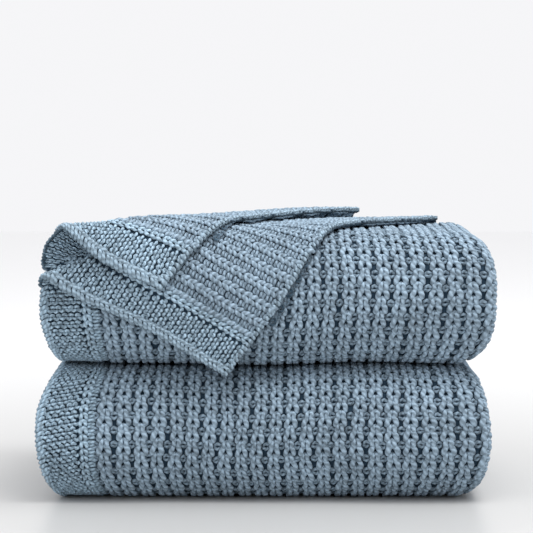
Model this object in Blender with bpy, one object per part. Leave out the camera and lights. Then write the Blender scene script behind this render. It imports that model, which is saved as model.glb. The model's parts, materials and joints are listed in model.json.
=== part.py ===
"""Folded knitted throw blanket, at its real size in metres, +Z up, front towards -Y.

The throw is folded in four across its width and in eight along its length. The long strip that the
first folds leave is doubled once (the bottom fold at the back), and the doubled strip, here called
the slab, is laid back and forth in four runs. Two front folds and one rear fold join the runs, so
the stack shows a lower and an upper bundle, and the throw's two ends lie on top towards the back.
The back-left corners of its two top layers are turned over and hang over the front.

The cloth is placed with three coordinates. x runs across. u counts along the strip from the free
end on top: a whole number for each run and each fold. n is the depth in the slab, counted from the
side that shows on top of the stack.
"""

import math

import bmesh
import bpy
from mathutils import Vector

# Cloth
CLOTH_THICKNESS = 0.0052  # one layer of knit as it lies pressed in the stack
LAYER_GAP = 0.0009  # between two layers of the stack
BORDER_WIDTH = 0.032  # garter-stitch side border
RIM_WIDTH = 0.005  # cast-on and cast-off edge
SEAM_GAP = 0.0003  # between pieces that are knitted to each other
SLANTED_SEAM_GAP = 0.0008  # the same where the seam runs askew over the front

# Folded shape
WAIST_WIDTH = 0.300  # across the stack at its seams
SIDE_BULGE = 0.014  # each bundle's swell at each side
RUN_LENGTH = 0.135  # straight part of a run
TOP_RUN_LENGTH = 0.112  # the top run stops short of the rear fold
BOTTOM_FOLD_INSET = 0.028  # the bottom fold lies in front of the rear hinge line
FRONT_DEPTH_RATIO = 0.85  # a front fold's depth over its half height
REAR_DEPTH_RATIO = 0.90
FOLD_POWER = 2.3  # a fold's section is a superellipse: 2 is an ellipse
SWELL_POWER = 2.5  # a bundle's side is rounded: higher is flatter
LEFT_FOLD_INSET = 0.0015  # the left-hand fold lies inside the two side borders

# Turned corners. "start" is where the crease leaves the left side and "end" where it meets the free
# end. Drops are measured down the front from the middle of the upper front fold, and reaches from
# the left side.
CORNER_UNDER = {
    "start_drop": -0.009,
    "end_reach": 0.280,
    "tip_reach": 0.1244,
    "tip_drop": 0.058,
    "hinge_drop": 0.006,
}
CORNER_OVER = {
    "start_drop": -0.039,
    "end_reach": 0.220,
    "tip_reach": 0.0832,
    "tip_drop": 0.001,
    "hinge_drop": -0.024,
}

# Facets
FOLD_STEPS = 10
SIDE_FOLD_STEPS = 6
TIGHT_FOLD_STEPS = 4
SHARP_ANGLE = 40  # degrees between two faces that are shaded with an edge
ROUNDING = 1e-6  # a share of a step under which a value of u counts as on the step

# Worked out from the sizes above
LAYERS = 4  # layers in the strip
LAYER_PITCH = CLOTH_THICKNESS + LAYER_GAP
STRIP = LAYERS * LAYER_PITCH
SLAB = 2 * STRIP
HALF_CLOTH = CLOTH_THICKNESS / 2
SEAMS = [level * SLAB for level in range(5)]  # heights between the runs
TOP = SEAMS[4]
LEFT, RIGHT = -WAIST_WIDTH / 2, WAIST_WIDTH / 2
BORDER_EDGE = LEFT + BORDER_WIDTH
RIGHT_FOLD_X = RIGHT - 2 * LAYER_PITCH + LAYER_GAP / 2  # centre of the right-hand folds
LEFT_FOLD_X = LEFT + LAYER_PITCH + LEFT_FOLD_INSET
FRONT_REACH = FRONT_DEPTH_RATIO * (SLAB + 2 * LAYER_PITCH - LAYER_GAP / 2)
REAR_REACH = REAR_DEPTH_RATIO * (SLAB - LAYER_GAP / 2)
Y_FRONT = FRONT_REACH - (FRONT_REACH + RUN_LENGTH + REAR_REACH) / 2  # the stack is centred
Y_REAR = Y_FRONT + RUN_LENGTH
Y_FREE_END = Y_FRONT + TOP_RUN_LENGTH
Y_BOTTOM_FOLD = Y_REAR - BOTTOM_FOLD_INSET

# Values of u where one run or fold ends and the next starts
FREE_END, UPPER_FRONT, UPPER_BACK, REAR_END = 0, 1, 3, 4
LAST_RUN_END, SECOND_STRIP, U_END = 7, 8, 15
REAR_AGAIN, UPPER_AGAIN = 11, 12

YARN = {
    "ribbed": (0.227, 0.332, 0.436, 1.0),
    "garter": (0.212, 0.314, 0.416, 1.0),
    "rim": (0.258, 0.366, 0.470, 1.0),
}


def layer_depth(layer):
    """The middle of layer 1, 2, 3 or 4 of the strip, and of 0 and -1, the corners turned over it."""
    return (layer - 0.5) * LAYER_PITCH


def superellipse(angle):
    """The fold's section at this angle from the top: how far out and how far up."""
    power = 2 / FOLD_POWER
    out, up = math.sin(angle), math.cos(angle)
    return abs(out) ** power, math.copysign(abs(up) ** power, up)


def swell(z):
    """How much wider the cloth lies at this height, as a factor on x."""
    from_middle = abs(min(max(z, 0.0), TOP) % (2 * SLAB) / SLAB - 1)
    return 1 + 2 * SIDE_BULGE / WAIST_WIDTH * (1 - from_middle**SWELL_POWER)


def between(start, end, share):
    return start + (end - start) * share


def section_point(u, n):
    """Where the cloth lies along and up, in (y, z)."""
    if u > SECOND_STRIP:
        u, n = U_END - u, SLAB - n
    stretch = min(int(u), LAST_RUN_END)
    share = u - stretch
    out, up = superellipse(math.pi * share)
    if stretch == 0:
        return between(Y_FREE_END, Y_FRONT, share), SEAMS[4] - n
    if stretch in (1, 5):
        axis = SEAMS[3] if stretch == 1 else SEAMS[1]
        return Y_FRONT - FRONT_DEPTH_RATIO * (SLAB - n) * out, axis + (SLAB - n) * up
    if stretch == 2:
        return between(Y_FRONT, Y_REAR, share), SEAMS[2] + n
    if stretch == 3:
        return Y_REAR + REAR_DEPTH_RATIO * n * out, SEAMS[2] + n * up
    if stretch == 4:
        return between(Y_REAR, Y_FRONT, share), SEAMS[2] - n
    if stretch == 6:
        return between(Y_FRONT, Y_BOTTOM_FOLD, share), n
    radius = STRIP - n
    return Y_BOTTOM_FOLD + REAR_DEPTH_RATIO * radius * out, STRIP - radius * up


def placed_exactly(x, u, n):
    y, z = section_point(u, n)
    return Vector((x * swell(z), y, z - LAYER_GAP / 2))


def place(x, u, n):
    """A point of the cloth in the stack, on the flat facet between the two nearest fold steps.

    The whole stack is lowered so that its base is at z = 0.
    """
    low = math.floor(u * FOLD_STEPS + ROUNDING) / FOLD_STEPS
    share = (u - low) * FOLD_STEPS
    if share < ROUNDING:
        return placed_exactly(x, low, n)
    return placed_exactly(x, low, n).lerp(placed_exactly(x, low + 1 / FOLD_STEPS, n), share)


def front_route():
    """(distance, u) along the top surface from the free end to the middle of the upper front fold."""
    route = [(0.0, 0.0), (TOP_RUN_LENGTH, 1.0)]
    for step in range(FOLD_STEPS // 2):
        u = 1 + step / FOLD_STEPS
        (y0, z0), (y1, z1) = section_point(u, 0), section_point(u + 1 / FOLD_STEPS, 0)
        route.append((route[-1][0] + math.hypot(y1 - y0, z1 - z0), u + 1 / FOLD_STEPS))
    return route


ROUTE = front_route()
APEX = ROUTE[-1][0]  # distance at which the upper front fold turns straight down
FRONT_BACK = 2 * APEX - TOP_RUN_LENGTH  # distance at which the fold reaches the seam


def u_at(distance):
    """u for a distance from the free end, measured on the top surface of the stack."""
    if distance > APEX:
        if distance > FRONT_BACK:
            return 2 + (distance - FRONT_BACK) / RUN_LENGTH
        return 3 - u_at(2 * APEX - distance)
    for (d0, u0), (d1, u1) in zip(ROUTE, ROUTE[1:]):
        if distance <= d1:
            return between(u0, u1, (distance - d0) / (d1 - d0))
    return ROUTE[-1][1]


def place_wrapped(x, distance, n):
    """A point of a layer that follows the stack's front all the way."""
    return place(x, u_at(distance), n)


def place_hanging(x, distance, n):
    """A point of a turned corner, which hangs straight down past the middle of the front fold."""
    if distance <= APEX:
        return place_wrapped(x, distance, n)
    point = place(x, 1.5, n)
    return point - Vector((0, 0, distance - APEX))


def fold_cuts():
    """Distances at which a layer that wraps the front is cut into facets."""
    front = [distance for distance, _ in ROUTE[1:]]
    return front + [2 * APEX - distance for distance in reversed(front[:-1])]


def principled(name, colour):
    material = bpy.data.materials.new(name)
    material.use_nodes = True
    shader = material.node_tree.nodes["Principled BSDF"]
    shader.inputs["Base Color"].default_value = colour
    shader.inputs["Roughness"].default_value = 0.9
    shader.inputs["Metallic"].default_value = 0.0
    material.diffuse_color = colour
    return material


def add_object(name, bm, cloth):
    bmesh.ops.recalc_face_normals(bm, faces=bm.faces)
    if bm.calc_volume(signed=True) < 0:
        bmesh.ops.reverse_faces(bm, faces=bm.faces)
    bmesh.ops.triangulate(bm, faces=[face for face in bm.faces if len(face.verts) > 4])
    mesh = bpy.data.meshes.new(name)
    bm.to_mesh(mesh)
    bm.free()
    mesh.shade_smooth()
    mesh.set_sharp_from_angle(angle=math.radians(SHARP_ANGLE))
    mesh.materials.append(principled(name, YARN[cloth]))
    obj = bpy.data.objects.new(name, mesh)
    bpy.context.collection.objects.link(obj)
    return obj


def loft(name, rings, cloth):
    """A closed body through rings of points, all with the same number of points."""
    bm = bmesh.new()
    rings = [[bm.verts.new(point) for point in ring] for ring in rings]
    for ring, following in zip(rings, rings[1:]):
        for i in range(len(ring)):
            j = (i + 1) % len(ring)
            bm.faces.new((ring[i], ring[j], following[j], following[i]))
    for ring in (rings[0], rings[-1]):
        edges = [bm.edges.get(pair) for pair in zip(ring, ring[1:] + ring[:1])]
        bmesh.ops.triangle_fill(bm, edges=edges)
    return add_object(name, bm, cloth)


def swept(name, outline, values, cloth):
    """A closed outline in (x, n) carried along the strip through these values of u."""
    return loft(name, [[place(x, u, n) for x, n in outline] for u in values], cloth)


def clipped(outline, origin, towards):
    """The part of a convex outline on the side of a line through origin that towards points to."""
    kept = []
    for a, b in zip(outline, outline[1:] + outline[:1]):
        side_a, side_b = (a - origin).dot(towards), (b - origin).dot(towards)
        if side_a >= 0:
            kept.append(a)
        if side_a * side_b < 0:
            kept.append(a.lerp(b, side_a / (side_a - side_b)))
    return kept


def patch(name, outline, n, cloth, placed):
    """A convex outline in (x, distance) given the cloth's thickness at depth n and laid on the stack."""
    bm = bmesh.new()
    bm.faces.new([bm.verts.new((corner.x, corner.y, 0)) for corner in outline])
    for cut in fold_cuts():
        bmesh.ops.bisect_plane(
            bm,
            geom=bm.verts[:] + bm.edges[:] + bm.faces[:],
            plane_co=(0, cut, 0),
            plane_no=(0, 1, 0),
        )
    raised = bmesh.ops.extrude_face_region(bm, geom=bm.faces[:], use_keep_orig=True)["geom"]
    for vertex in bm.verts:
        vertex.co.z = n + HALF_CLOTH
    for item in raised:
        if isinstance(item, bmesh.types.BMVert):
            item.co.z = n - HALF_CLOTH
    for vertex in bm.verts:
        vertex.co = placed(*vertex.co)
    return add_object(name, bm, cloth)


def thickened(centre_line):
    """The closed outline of a cloth whose middle runs through (x, n, normal x, normal n)."""
    one_side = [(x + nx * HALF_CLOTH, n + nn * HALF_CLOTH) for x, n, nx, nn in centre_line]
    other_side = [(x - nx * HALF_CLOTH, n - nn * HALF_CLOTH) for x, n, nx, nn in centre_line]
    return one_side + other_side[::-1]


def side_fold(x, n, radius, first, last, steps):
    """The middle of a side fold about (x, n), from one angle to another, with outward normals."""
    points = []
    for step in range(steps + 1):
        angle = math.radians(between(first, last, step / steps))
        points.append((x + radius * math.cos(angle), n + radius * math.sin(angle)))
    return [(px, pn, (px - x) / radius, (pn - n) / radius) for px, pn in points]


def inner_folds():
    """The strip's middle from layer 1's end at the right, round to 4, 3 and layer 2's end."""
    line = side_fold(RIGHT_FOLD_X, STRIP / 2, 1.5 * LAYER_PITCH, -90, 90, SIDE_FOLD_STEPS)
    line += side_fold(LEFT_FOLD_X, 0.75 * STRIP, 0.5 * LAYER_PITCH, 90, 270, TIGHT_FOLD_STEPS)
    inner = side_fold(RIGHT_FOLD_X, STRIP / 2, 0.5 * LAYER_PITCH, 90, -90, TIGHT_FOLD_STEPS)
    return line + [(x, n, -nx, -nn) for x, n, nx, nn in inner]


def folded_in_four(border_edge):
    """The strip's section: layer 1, round the right fold to 4, the left fold to 3, and back to 2."""
    first = (border_edge, layer_depth(1), 0, -1)
    last = (border_edge, layer_depth(2), 0, 1)
    return thickened([first] + inner_folds() + [last])


def border_section(layer):
    """A side border's section, from the selvedge to the ribbed panel."""
    n = layer_depth(layer)
    low, high, far = n - HALF_CLOTH, n + HALF_CLOTH, BORDER_EDGE - SEAM_GAP
    return [(LEFT, low), (far, low), (far, high), (LEFT, high)]


def stations(first, last):
    """Values of u from first to last, a few to each fold, pulled in by half a seam gap at both ends."""
    values = []
    for stretch in range(first, last):
        is_fold = stretch % 2 == 1
        steps = FOLD_STEPS if is_fold else 1
        values += [stretch + step / steps for step in range(steps)]
    values.append(last)
    trim = SEAM_GAP / RUN_LENGTH
    if first > FREE_END:
        values[0] += trim
    if last < U_END:
        values[-1] -= trim
    return values


def rimmed(first, last, rim_at_start):
    """Stations that stop one rim short of a free end, and those of the rim itself."""
    share = RIM_WIDTH / TOP_RUN_LENGTH
    gap = SEAM_GAP / TOP_RUN_LENGTH
    values = stations(first, last)
    if rim_at_start:
        return [share + gap] + values[1:], [0.0, share]
    return values[:-1] + [last - share - gap], [last - share, last]


def side_borders(prefix, values):
    """The two side borders of the strip over these stations."""
    swept(prefix + "_face_border", border_section(1), values, "garter")
    swept(prefix + "_second_border", border_section(2), values, "garter")


def lower_bundle():
    values = stations(REAR_END, REAR_AGAIN)
    swept("lower_ribbed_panel", folded_in_four(BORDER_EDGE), values, "ribbed")
    side_borders("lower", values)


def rear_fold():
    """Both passes of the strip round the rear fold."""
    for prefix, first, last in (
        ("rear_inner", UPPER_BACK, REAR_END),
        ("rear_outer", REAR_AGAIN, UPPER_AGAIN),
    ):
        values = stations(first, last)
        swept(prefix + "_ribbed_panel", folded_in_four(BORDER_EDGE), values, "ribbed")
        side_borders(prefix, values)


def under_strip():
    """The strip's second pass through the upper bundle, with the throw's cast-on edge."""
    values, rim = rimmed(UPPER_AGAIN, U_END, rim_at_start=False)
    swept("under_ribbed_panel", folded_in_four(BORDER_EDGE), values, "ribbed")
    swept("cast_on_edge", folded_in_four(LEFT), rim, "rim")
    side_borders("under", values)


def crease_line(corner):
    """The crease that a corner is turned over on: its two ends and the way to the front of it."""
    start = Vector((LEFT, APEX + corner["start_drop"]))
    end = Vector((LEFT + corner["end_reach"], 0.0))
    along = (end - start).normalized()
    return start, end, Vector((-along.y, along.x))


def top_layer(name, corner, layer):
    """Layer 1 or 2 of the upper bundle, cut off at the crease of its turned corner."""
    start, end, forward = crease_line(corner)
    right = RIGHT_FOLD_X - SEAM_GAP
    far = FRONT_BACK + RUN_LENGTH - SEAM_GAP
    whole = [Vector(point) for point in ((LEFT, 0), (right, 0), (right, far), (LEFT, far))]
    kept = clipped(whole, start + forward * SEAM_GAP, forward)
    cloth = clipped(kept, Vector((0, RIM_WIDTH + SEAM_GAP)), Vector((0, 1)))
    pieces = (
        ("ribbed_panel", clipped(cloth, Vector((BORDER_EDGE, 0)), Vector((1, 0))), "ribbed"),
        ("border", clipped(cloth, Vector((BORDER_EDGE - SEAM_GAP, 0)), Vector((-1, 0))), "garter"),
        ("end_edge", clipped(kept, Vector((0, RIM_WIDTH)), Vector((0, -1))), "rim"),
    )
    for kind, outline, cloth_kind in pieces:
        patch(f"{name}_{kind}", outline, layer_depth(layer), cloth_kind, place_wrapped)


def crease_roll(name, corner, layer, turned_layer):
    """The rolled crease that joins a turned corner to its own layer."""
    start, end, forward = crease_line(corner)
    inner, outer = layer_depth(layer), layer_depth(turned_layer)
    middle, radius = (inner + outer) / 2, (inner - outer) / 2
    outline = thickened(side_fold(0, 0, radius, -90, 90, 2 * TIGHT_FOLD_STEPS))
    cuts = [cut for cut in reversed(fold_cuts()) if cut < start.y]
    rings = []
    for distance in [start.y] + cuts + [0.0]:
        on_crease = end.lerp(start, distance / start.y)
        at = [(on_crease - forward * beyond, middle + depth) for beyond, depth in outline]
        rings.append([place_wrapped(across.x, across.y, n) for across, n in at])
    loft(name, rings, "ribbed")


def turned_corner(name, tip_name, corner, turned_layer):
    """A corner lying turned over on the stack, with its hanging tip as pieces of their own."""
    start, end, forward = crease_line(corner)
    tip = Vector((LEFT + corner["tip_reach"], APEX + corner["tip_drop"]))
    hem, edge = (tip - start).normalized(), (end - tip).normalized()
    off_hem, off_edge = Vector((hem.y, -hem.x)), Vector((edge.y, -edge.x))
    whole = clipped([start, tip, end], start + forward * SEAM_GAP, forward)
    cloth = clipped(whole, tip + off_edge * (RIM_WIDTH + SLANTED_SEAM_GAP), off_edge)
    panel_side = start + off_hem * BORDER_WIDTH
    border_side = panel_side - off_hem * SLANTED_SEAM_GAP
    pieces = (
        ("ribbed_panel", clipped(cloth, panel_side, off_hem), "ribbed"),
        ("border", clipped(cloth, border_side, -off_hem), "garter"),
        ("end_edge", clipped(whole, tip + off_edge * RIM_WIDTH, -off_edge), "rim"),
    )
    hinge = APEX + corner["hinge_drop"]
    depth = layer_depth(turned_layer)
    lifted = []
    for kind, outline, cloth_kind in pieces:
        held = clipped(outline, Vector((0, hinge - SEAM_GAP / 2)), Vector((0, -1)))
        hanging = clipped(outline, Vector((0, hinge + SEAM_GAP / 2)), Vector((0, 1)))
        patch(f"{name}_{kind}", held, depth, cloth_kind, place_hanging)
        if hanging:
            lifted.append(patch(f"{tip_name}_{kind}", hanging, depth, cloth_kind, place_hanging))
    hang_on(f"{tip_name}_axis", place_hanging(0, hinge, depth - HALF_CLOTH), lifted)


def hang_on(name, position, pieces):
    """An empty on a joint's axis, with the pieces that turn about it as its children."""
    empty = bpy.data.objects.new(name, None)
    empty.location = position
    bpy.context.collection.objects.link(empty)
    bpy.context.view_layer.update()
    for piece in pieces:
        piece.parent = empty
        piece.matrix_parent_inverse = empty.matrix_world.inverted()


def upper_bundle():
    values, rim = rimmed(FREE_END, UPPER_BACK, rim_at_start=True)
    swept("inner_ribbed_panel", thickened(inner_folds()), values, "ribbed")
    swept("cast_off_edge", thickened(inner_folds()), rim, "rim")
    under_strip()
    top_layer("face", CORNER_UNDER, 1)
    top_layer("second", CORNER_OVER, 2)
    crease_roll("under_corner_crease", CORNER_UNDER, 1, 0)
    crease_roll("over_corner_crease", CORNER_OVER, 2, -1)
    turned_corner("under_corner", "under_tip", CORNER_UNDER, 0)
    turned_corner("over_corner", "over_tip", CORNER_OVER, -1)


def main():
    for obj in list(bpy.data.objects):
        bpy.data.objects.remove(obj, do_unlink=True)
    lower_bundle()
    rear_fold()
    kept = set(bpy.data.objects)
    upper_bundle()
    opening = [obj for obj in bpy.data.objects if obj not in kept and obj.parent is None]
    hang_on("rear_fold_axis", place(0, UPPER_BACK, 0), opening)


main()
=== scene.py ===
"""Folded knitted throw blanket: the looks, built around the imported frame.

The throw is one sheet of knitting, folded in four across and in eight along. Every piece here is
laid out flat first and is then folded by the same formulas: p runs across the cloth from the
selvedge of its top layer, q runs along it from the free end on top, and h is the height over the
middle of the cloth, on its ribbed face. The ribs, borders and edges are separate stitches of yarn
on a thin ground cloth.
"""

import json
import math

import bmesh
import bpy
import numpy as np
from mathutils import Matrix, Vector

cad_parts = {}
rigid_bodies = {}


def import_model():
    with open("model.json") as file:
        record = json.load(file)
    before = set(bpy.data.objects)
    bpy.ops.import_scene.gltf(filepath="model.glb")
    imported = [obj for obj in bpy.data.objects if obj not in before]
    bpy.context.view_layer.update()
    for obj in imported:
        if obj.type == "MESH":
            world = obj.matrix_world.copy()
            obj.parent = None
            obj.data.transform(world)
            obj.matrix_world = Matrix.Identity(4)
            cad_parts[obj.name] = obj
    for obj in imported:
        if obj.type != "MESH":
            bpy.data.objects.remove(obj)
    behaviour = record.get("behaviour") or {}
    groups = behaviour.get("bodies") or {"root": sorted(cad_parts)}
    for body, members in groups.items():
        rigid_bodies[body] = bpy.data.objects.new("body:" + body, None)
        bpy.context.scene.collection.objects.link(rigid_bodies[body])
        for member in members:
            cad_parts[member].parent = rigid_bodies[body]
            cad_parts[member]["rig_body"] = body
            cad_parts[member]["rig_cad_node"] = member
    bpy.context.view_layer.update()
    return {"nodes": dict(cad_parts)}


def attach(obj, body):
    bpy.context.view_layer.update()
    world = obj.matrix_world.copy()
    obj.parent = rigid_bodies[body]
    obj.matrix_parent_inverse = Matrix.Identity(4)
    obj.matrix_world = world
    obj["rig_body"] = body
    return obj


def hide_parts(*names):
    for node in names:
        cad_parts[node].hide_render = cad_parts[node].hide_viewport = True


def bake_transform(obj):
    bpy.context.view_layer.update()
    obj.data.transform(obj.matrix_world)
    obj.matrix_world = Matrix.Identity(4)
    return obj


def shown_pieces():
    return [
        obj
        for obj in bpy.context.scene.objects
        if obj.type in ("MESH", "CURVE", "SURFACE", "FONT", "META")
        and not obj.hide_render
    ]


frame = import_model()
for cad_object in bpy.context.selected_objects:
    cad_object.select_set(False)

MM = 0.001
random = np.random.default_rng(11)

# Cloth and folded shape, the same sizes as the frame's
CLOTH_THICKNESS, LAYER_GAP = 5.2 * MM, 0.9 * MM
BORDER_WIDTH = 32 * MM
WAIST_WIDTH, SIDE_BULGE = 300 * MM, 14 * MM
RUN_LENGTH, TOP_RUN_LENGTH = 135 * MM, 112 * MM
BOTTOM_FOLD_INSET = 28 * MM
FRONT_DEPTH_RATIO, REAR_DEPTH_RATIO = 0.85, 0.90
FOLD_POWER, SWELL_POWER = 2.3, 2.5
LEFT_FOLD_INSET = 1.5 * MM
LAYER_PITCH = CLOTH_THICKNESS + LAYER_GAP
STRIP = 4 * LAYER_PITCH
SLAB = 2 * STRIP
SEAMS = [level * SLAB for level in range(5)]
TOP = SEAMS[4]
LEFT, RIGHT = -WAIST_WIDTH / 2, WAIST_WIDTH / 2
RIGHT_FOLD_X = RIGHT - 2 * LAYER_PITCH + LAYER_GAP / 2
LEFT_FOLD_X = LEFT + LAYER_PITCH + LEFT_FOLD_INSET
FRONT_REACH = FRONT_DEPTH_RATIO * (SLAB + 2 * LAYER_PITCH - LAYER_GAP / 2)
REAR_REACH = REAR_DEPTH_RATIO * (SLAB - LAYER_GAP / 2)
Y_FRONT = FRONT_REACH - (FRONT_REACH + RUN_LENGTH + REAR_REACH) / 2
Y_REAR = Y_FRONT + RUN_LENGTH
Y_FREE_END = Y_FRONT + TOP_RUN_LENGTH
Y_BOTTOM_FOLD = Y_REAR - BOTTOM_FOLD_INSET

# u counts the runs and folds along the strip
UPPER_FRONT_MIDDLE, UPPER_BACK, REAR_END, LAST_RUN_END = 1.5, 3, 4, 7
SECOND_STRIP, REAR_AGAIN, UPPER_AGAIN, U_END = 8, 11, 12, 15

# Knitting, as it lies in the folded throw
RIB_PITCH, COURSE = 11.6 * MM, 10.25 * MM
FIRST_RIB = 41.8 * MM  # from the selvedge
CHAIN_AT = 28.8 * MM  # the chain of stitches between border and ribs
GARTER_ROW, GARTER_BUMP = 5.6 * MM, 3.65 * MM
GROUND_HEIGHT, GROUND_THICKNESS = -2.1 * MM, 1.0 * MM
ON_FLOOR = 0.2 * MM  # yarn that would go lower is pressed flat here


def layer_depth(layer):
    """The middle of layer 1 to 4 of the strip, and of 0 and -1, the corners turned over it."""
    return (layer - 0.5) * LAYER_PITCH


def superellipse(angle):
    """The fold's section at this angle from the top: how far out and how far up."""
    power = 2 / FOLD_POWER
    out, up = np.sin(angle), np.cos(angle)
    return np.abs(out) ** power, np.sign(up) * np.abs(up) ** power


def swell(x, z):
    """How much wider the cloth lies here, as a factor on x: most at the sides, at mid height."""
    from_middle = np.abs(np.clip(z, 0, TOP) % (2 * SLAB) / SLAB - 1)
    sideways = np.clip(np.abs(x) / RIGHT, 0, 1) ** 1.5
    return 1 + 2 * SIDE_BULGE / WAIST_WIDTH * (1 - from_middle**SWELL_POWER) * sideways


def between(start, end, share):
    return start + (end - start) * share


def section_point(u, n):
    """Where the cloth lies along and up, in (y, z), at u along the strip and depth n in the slab."""
    second = u > SECOND_STRIP
    n = np.where(second, SLAB - n, n)
    u = np.where(second, U_END - u, u)
    stretch = np.clip(np.floor(u), 0, LAST_RUN_END)
    share = u - stretch
    out, up = superellipse(np.pi * share)
    front = Y_FRONT - FRONT_DEPTH_RATIO * (SLAB - n) * out
    bottom = STRIP - n
    cases = (
        (between(Y_FREE_END, Y_FRONT, share), SEAMS[4] - n),
        (front, SEAMS[3] + (SLAB - n) * up),
        (between(Y_FRONT, Y_REAR, share), SEAMS[2] + n),
        (Y_REAR + REAR_DEPTH_RATIO * n * out, SEAMS[2] + n * up),
        (between(Y_REAR, Y_FRONT, share), SEAMS[2] - n),
        (front, SEAMS[1] + (SLAB - n) * up),
        (between(Y_FRONT, Y_BOTTOM_FOLD, share), n),
        (Y_BOTTOM_FOLD + REAR_DEPTH_RATIO * bottom * out, STRIP - bottom * up),
    )
    which = [stretch == number for number in range(len(cases))]
    return np.select(which, [y for y, _ in cases]), np.select(which, [z for _, z in cases])


def settled(points):
    """The small unevenness of soft cloth that has been folded by hand: long waves, each with its
    height in mm, its turn in radians per metre along x, y and z, and its start."""
    x, y, z = points.T
    off_floor = np.clip(z / (30 * MM), 0, 1)
    leaning = 2.6 * np.sin(math.pi * np.clip((z - 0.5 * TOP) / (0.8 * TOP), -0.5, 0.5))
    sway = leaning + 0.8 * np.sin(83 * z - 21 * x + 2.0)
    push = 1.2 * np.sin(24 * x + 31 * z + 1.1) + 0.7 * np.sin(61 * x - 44 * z)
    lift = 0.9 * np.sin(29 * x + 17 * y + 0.4) + 0.5 * np.sin(55 * x - 36 * y + 1.9)
    shift = np.stack([sway, push, lift], axis=1) * MM
    moved = points + shift * off_floor[:, None]
    moved[:, 2] = np.maximum(moved[:, 2], ON_FLOOR)
    return moved


def place(x, u, n):
    y, z = section_point(u, n)
    return np.stack([x * swell(x, z), y, z - LAYER_GAP / 2], axis=1)


class Route:
    """Turns a length along the cloth into u, measured at one depth of the strip."""

    def __init__(self, depth):
        self.u = np.linspace(0, U_END, 200 * U_END + 1)
        y, z = section_point(self.u, np.full_like(self.u, depth))
        steps = np.hypot(np.diff(y), np.diff(z))
        self.length = np.concatenate([[0.0], np.cumsum(steps)])

    def u_at(self, q):
        past_ends = np.minimum(q, 0) + np.maximum(q - self.length[-1], 0)
        return np.interp(q, self.length, self.u) + past_ends / TOP_RUN_LENGTH

    def q_at(self, u):
        return float(np.interp(u, self.u, self.length))

    def same_place(self, q, route):
        """The length along this route at the place that is q along another."""
        return np.interp(route.u_at(q), self.u, self.length)


FACE_ROUTE = Route(layer_depth(1))
STRIP_ROUTE = Route(STRIP / 2)
SURFACE_ROUTE = Route(0.0)
APEX = SURFACE_ROUTE.q_at(UPPER_FRONT_MIDDLE)

# The strip's section, in the order of p
FLAT_1 = RIGHT_FOLD_X - LEFT
OUTER_RADIUS, INNER_RADIUS = 1.5 * LAYER_PITCH, 0.5 * LAYER_PITCH
FLAT_INNER = RIGHT_FOLD_X - LEFT_FOLD_X
OUTER_TURN, INNER_TURN = math.pi * OUTER_RADIUS, math.pi * INNER_RADIUS
SECTION = np.cumsum([FLAT_1, OUTER_TURN, FLAT_INNER, INNER_TURN, FLAT_INNER, INNER_TURN, FLAT_1])
WIDTH = float(SECTION[-1])
RIGHT_FOLD_END, LAYER_4_END, LAYER_3_START = SECTION[1], SECTION[2], SECTION[3]
LAYER_2_START = float(SECTION[5])


def across(p, h):
    """(x, n) at p across the folded strip and h over the middle of the cloth, on its face."""
    start = np.concatenate([[0.0], SECTION])
    part = np.clip(np.searchsorted(SECTION, p, side="right"), 0, 6)
    along = p - start[part]
    outer, inner = along / OUTER_RADIUS, along / INNER_RADIUS
    tight = INNER_RADIUS + h
    cases = (
        (LEFT + along, layer_depth(1) - h),
        (
            RIGHT_FOLD_X + (OUTER_RADIUS + h) * np.sin(outer),
            STRIP / 2 - (OUTER_RADIUS + h) * np.cos(outer),
        ),
        (RIGHT_FOLD_X - along, layer_depth(4) + h),
        (LEFT_FOLD_X - tight * np.sin(inner), 0.75 * STRIP + tight * np.cos(inner)),
        (LEFT_FOLD_X + along, layer_depth(3) - h),
        (
            RIGHT_FOLD_X + (INNER_RADIUS - h) * np.sin(inner),
            STRIP / 2 + (INNER_RADIUS - h) * np.cos(inner),
        ),
        (RIGHT_FOLD_X - along, layer_depth(2) + h),
    )
    which = [part == number for number in range(len(cases))]
    return np.select(which, [x for x, _ in cases]), np.select(which, [n for _, n in cases])


def folded(route):
    """The way from flat (p, q, h) to the folded throw, with q measured along this route."""

    def fold(flat):
        p, q, h = flat.T
        x, n = across(p, h)
        return settled(place(x, route.u_at(q), n))

    return fold


GAPE_LENGTH, SETTLING_LENGTH = 30 * MM, 34 * MM  # along the crease, and ahead of it


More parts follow.
